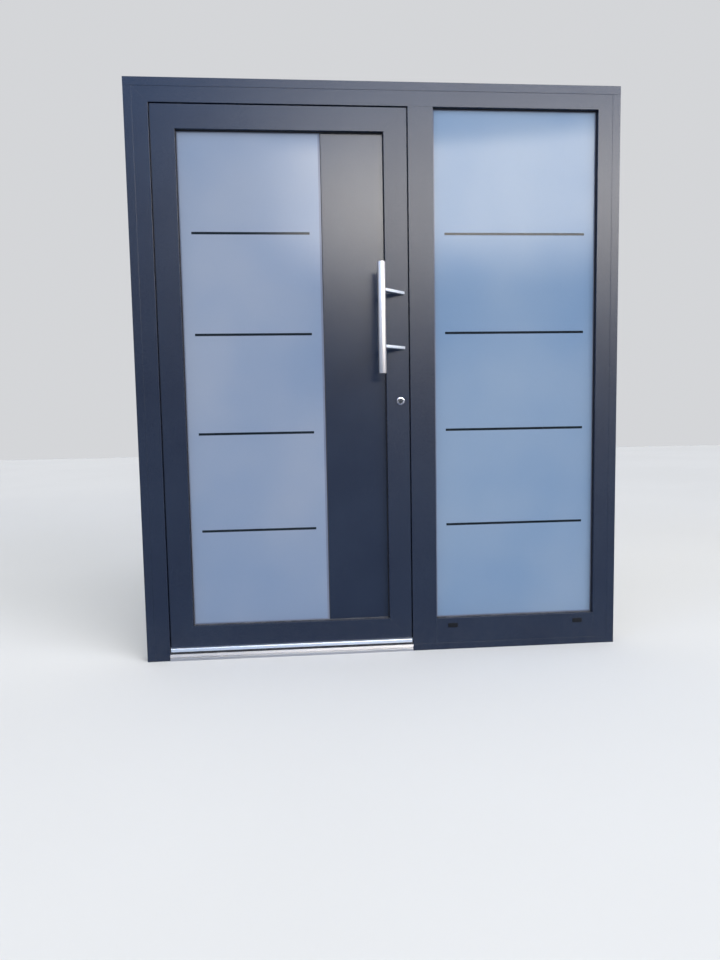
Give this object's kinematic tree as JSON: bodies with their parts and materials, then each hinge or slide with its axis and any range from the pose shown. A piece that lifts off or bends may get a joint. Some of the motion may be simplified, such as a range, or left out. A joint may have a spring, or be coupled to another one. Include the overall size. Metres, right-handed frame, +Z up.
{
  "type": "glass entrance door with sidelight",
  "caption": "Anthracite aluminium entrance door: glazed leaf with a flush panel, opening inward, and a fixed frosted sidelight, with clear strips, pull bar and threshold.",
  "frame": {"origin": "on the floor, in the middle of the element's width and of its profiles' depth, on the threshold's underside", "axes": "+X to the right seen from outside, +Y into the house, +Z up"},
  "size_m": [1.8, 0.2305, 2.1],
  "materials": {
    "anthracite_profile": "satin powder coat, anthracite grey, fine texture",
    "anthracite_panel": "satin powder coat, anthracite grey",
    "thermal_break": "matt glass-filled plastic, black",
    "cleat": "mill finish, sawn",
    "bright_aluminium": "natural anodised, satin",
    "frosted_glass": "glossy outside, sandblasted inside but for four clear strips",
    "clear_glass": "clear float, polished",
    "spacer": "matt warm-edge spacer, grey",
    "panel_core": "rigid insulating foam, pale",
    "sealant": "matt sealant, black",
    "gasket": "matt extruded rubber, black",
    "drain_cap": "matt moulded plastic, dark grey",
    "stainless_steel": "brushed",
    "lock_steel": "zinc plated, dull",
    "nickel_brass": "nickel plated, satin"
  },
  "bodies": {
    "frame": {"frame_jamb_left": "anthracite_profile", "frame_jamb_right": "anthracite_profile", "frame_head": "anthracite_profile", "mullion": "anthracite_profile", "sidelight_rail": "anthracite_profile", "frame_thermal_breaks": "thermal_break", "frame_corner_cleats": "cleat", "extension_left": "anthracite_profile", "extension_right": "anthracite_profile", "extension_head": "anthracite_profile", "base_profiles": "anthracite_profile", "threshold": "bright_aluminium", "sidelight_pane_frosted": "frosted_glass", "sidelight_pane_middle": "clear_glass", "sidelight_pane_inner": "clear_glass", "sidelight_spacers": "spacer", "sidelight_beads": "anthracite_profile", "sidelight_gaskets": "gasket", "drain_caps": "drain_cap", "frame_seal": "gasket", "strike_plate": "stainless_steel", "strike_body": "lock_steel", "hinge_frame_parts": "anthracite_profile", "hinge_pins": "stainless_steel"},
    "strike_jaw": {"strike_jaw": "lock_steel"},
    "leaf": {"leaf_stile_hinge": "anthracite_profile", "leaf_stile_lock": "anthracite_profile", "leaf_rail_top": "anthracite_profile", "leaf_rail_bottom": "anthracite_profile", "leaf_thermal_breaks": "thermal_break", "leaf_corner_cleats": "cleat", "leaf_pane_frosted": "frosted_glass", "leaf_pane_middle": "clear_glass", "leaf_pane_inner": "clear_glass", "leaf_spacers": "spacer", "panel_skins": "anthracite_panel", "panel_core": "panel_core", "infill_joint_seal": "sealant", "leaf_beads": "anthracite_profile", "leaf_gaskets": "gasket", "leaf_seal": "gasket", "drip_bar": "bright_aluminium", "bottom_seal": "gasket", "hinge_leaf_parts": "anthracite_profile", "pull_bar": "stainless_steel", "pull_bar_arms": "stainless_steel", "pull_bar_screws": "lock_steel", "rosette_outside": "stainless_steel", "handle_plate_inside": "stainless_steel", "lock_cases": "lock_steel", "lock_faceplate": "stainless_steel", "cylinder_body": "nickel_brass"},
    "lever": {"lever_handle": "stainless_steel", "lever_spindle": "lock_steel"},
    "latch": {"latch_bolt": "lock_steel"},
    "cylinder_plug": {"cylinder_plug": "nickel_brass"},
    "deadbolt": {"deadbolt": "lock_steel"},
    "hook_lower": {"hook_bolt_lower": "lock_steel"},
    "hook_upper": {"hook_bolt_upper": "lock_steel"},
    "drive_rods": {"drive_rods": "lock_steel"}
  },
  "joints": [
    {"name": "leaf_swing", "type": "hinge", "parent": "frame", "child": "leaf", "pos_m": [-0.835, 0.0495, 1.028], "axis": [0, 0, 1], "range_deg": [0, 100]},
    {"name": "lever_turn", "type": "hinge", "parent": "leaf", "child": "lever", "pos_m": [0.066, 0.06, 1.05], "axis": [0, -1, 0], "range_deg": [0, 40], "stiffness_Nm_per_rad": 1.5, "springref_deg": -20.05},
    {"name": "latch_slide", "type": "slide", "parent": "leaf", "child": "latch", "axis": [-1, 0, 0], "range_m": [0, 0.012]},
    {"name": "key_turn", "type": "hinge", "parent": "leaf", "child": "cylinder_plug", "pos_m": [0.066, 0.003, 0.958], "axis": [0, -1, 0], "range_deg": [0, 360]},
    {"name": "deadbolt_slide", "type": "slide", "parent": "leaf", "child": "deadbolt", "axis": [1, 0, 0], "range_m": [0, 0.02]},
    {"name": "hook_lower_swing", "type": "hinge", "parent": "leaf", "child": "hook_lower", "pos_m": [0.099, 0.003, 0.351], "axis": [0, -1, 0], "range_deg": [0, 90]},
    {"name": "hook_upper_swing", "type": "hinge", "parent": "leaf", "child": "hook_upper", "pos_m": [0.099, 0.003, 1.7055], "axis": [0, -1, 0], "range_deg": [0, 90]},
    {"name": "rod_slide", "type": "slide", "parent": "leaf", "child": "drive_rods", "axis": [0, 0, 1], "range_m": [0, 0.02]},
    {"name": "strike_jaw_swing", "type": "hinge", "parent": "frame", "child": "strike_jaw", "pos_m": [0.141, 0.0127, 1.05], "axis": [0, 0, 1], "range_deg": [0, 90]}
  ],
  "couplings": [
    {"joint": "latch_slide", "follows": "lever_turn", "m_per_rad": 0.01718},
    {"joint": "key_turn", "follows": "rod_slide", "rad_per_m": 314},
    {"joint": "deadbolt_slide", "follows": "rod_slide", "ratio": 1},
    {"joint": "hook_lower_swing", "follows": "rod_slide", "rad_per_m": 78.5},
    {"joint": "hook_upper_swing", "follows": "rod_slide", "rad_per_m": 78.5}
  ]
}
